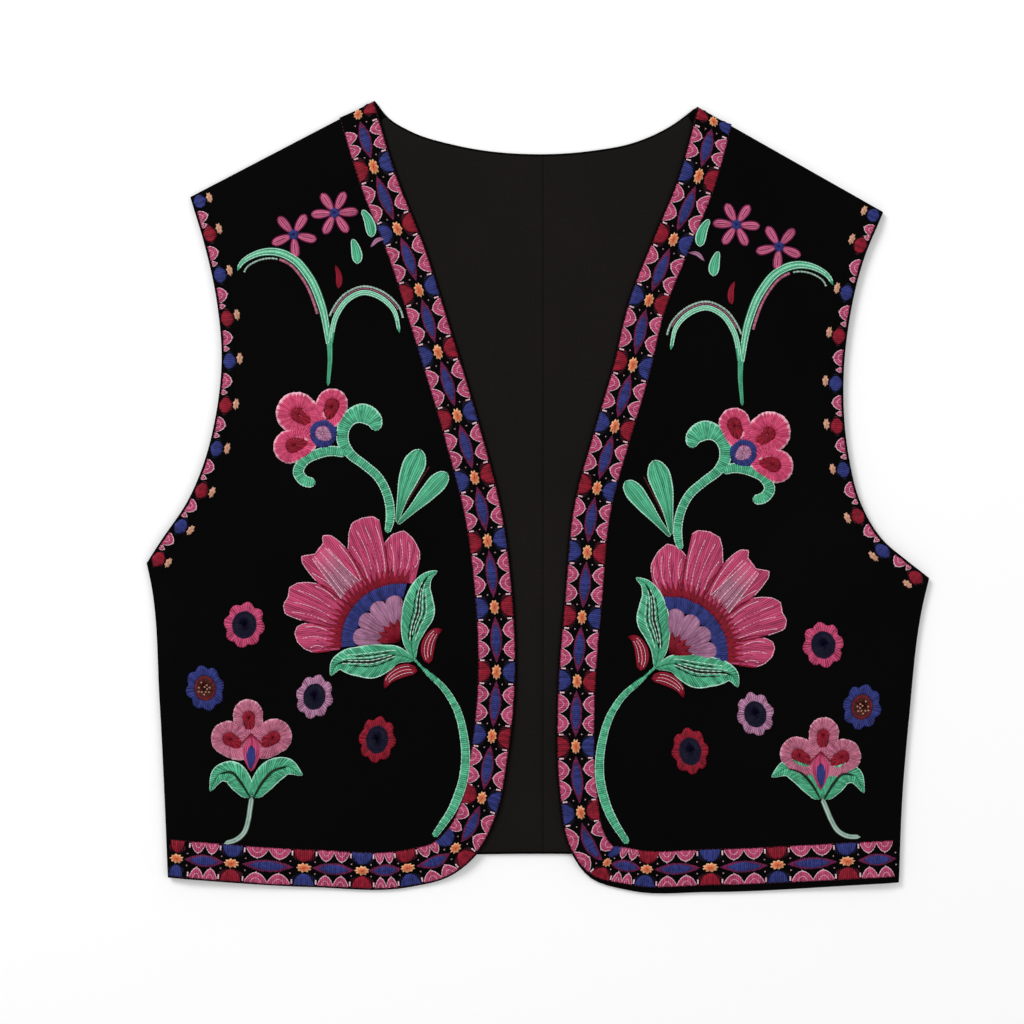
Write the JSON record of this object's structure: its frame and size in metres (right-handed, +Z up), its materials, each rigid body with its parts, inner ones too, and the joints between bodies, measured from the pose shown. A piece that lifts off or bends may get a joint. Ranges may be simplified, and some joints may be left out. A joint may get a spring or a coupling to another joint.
{
  "type": "embroidered_vest",
  "caption": "Embroidered folk vest of black cloth, laid flat with its open fronts up, with raised flowers and leaves and a patterned border along the front edges and the hem.",
  "frame": {"origin": "the centre of the underside, where the back lies on its surface", "axes": "+X the wearer's left, +Y towards the neck, +Z up through the layers"},
  "size_m": [0.4704, 0.4768, 0.0076],
  "materials": {
    "black_cloth": "matte black woven cloth with a faint nap",
    "charcoal_lining": "smooth charcoal lining, softly creased",
    "border_embroidery": "dense satin stitch in pink, blue, red and orange on black",
    "green_thread": "mint green satin stitch with a silky sheen",
    "pink_thread": "rose pink satin stitch with a silky sheen",
    "mauve_thread": "mauve pink satin stitch with a silky sheen",
    "lilac_thread": "lilac satin stitch with a silky sheen",
    "blue_thread": "deep blue satin stitch with a silky sheen",
    "red_thread": "crimson satin stitch with a silky sheen"
  },
  "bodies": {
    "root": {"back": "black_cloth", "lining_left": "charcoal_lining", "lining_right": "charcoal_lining", "front_right": "black_cloth", "border_right": "border_embroidery", "armhole_edging_right": "border_embroidery", "star_upper_right": "mauve_thread", "star_lower_right": "mauve_thread", "sprig_right": "green_thread", "blossom_middle_right": "pink_thread", "scroll_right": "green_thread", "leaf_pair_right": "green_thread", "bloom_right": "pink_thread", "bloom_leaves_right": "green_thread", "sepal_inner_right": "red_thread", "sepal_lower_right": "red_thread", "floret_pink_right": "pink_thread", "floret_blue_right": "blue_thread", "floret_lilac_right": "lilac_thread", "floret_red_right": "red_thread", "blossom_lower_right": "mauve_thread", "leaves_lower_right": "green_thread", "front_left": "black_cloth", "border_left": "border_embroidery", "armhole_edging_left": "border_embroidery", "star_upper_left": "mauve_thread", "star_lower_left": "mauve_thread", "sprig_left": "green_thread", "blossom_middle_left": "pink_thread", "scroll_left": "green_thread", "leaf_pair_left": "green_thread", "bloom_left": "pink_thread", "bloom_leaves_left": "green_thread", "sepal_inner_left": "red_thread", "sepal_lower_left": "red_thread", "floret_pink_left": "pink_thread", "floret_blue_left": "blue_thread", "floret_lilac_left": "lilac_thread", "floret_red_left": "red_thread", "blossom_lower_left": "mauve_thread", "leaves_lower_left": "green_thread"}
  },
  "joints": []
}
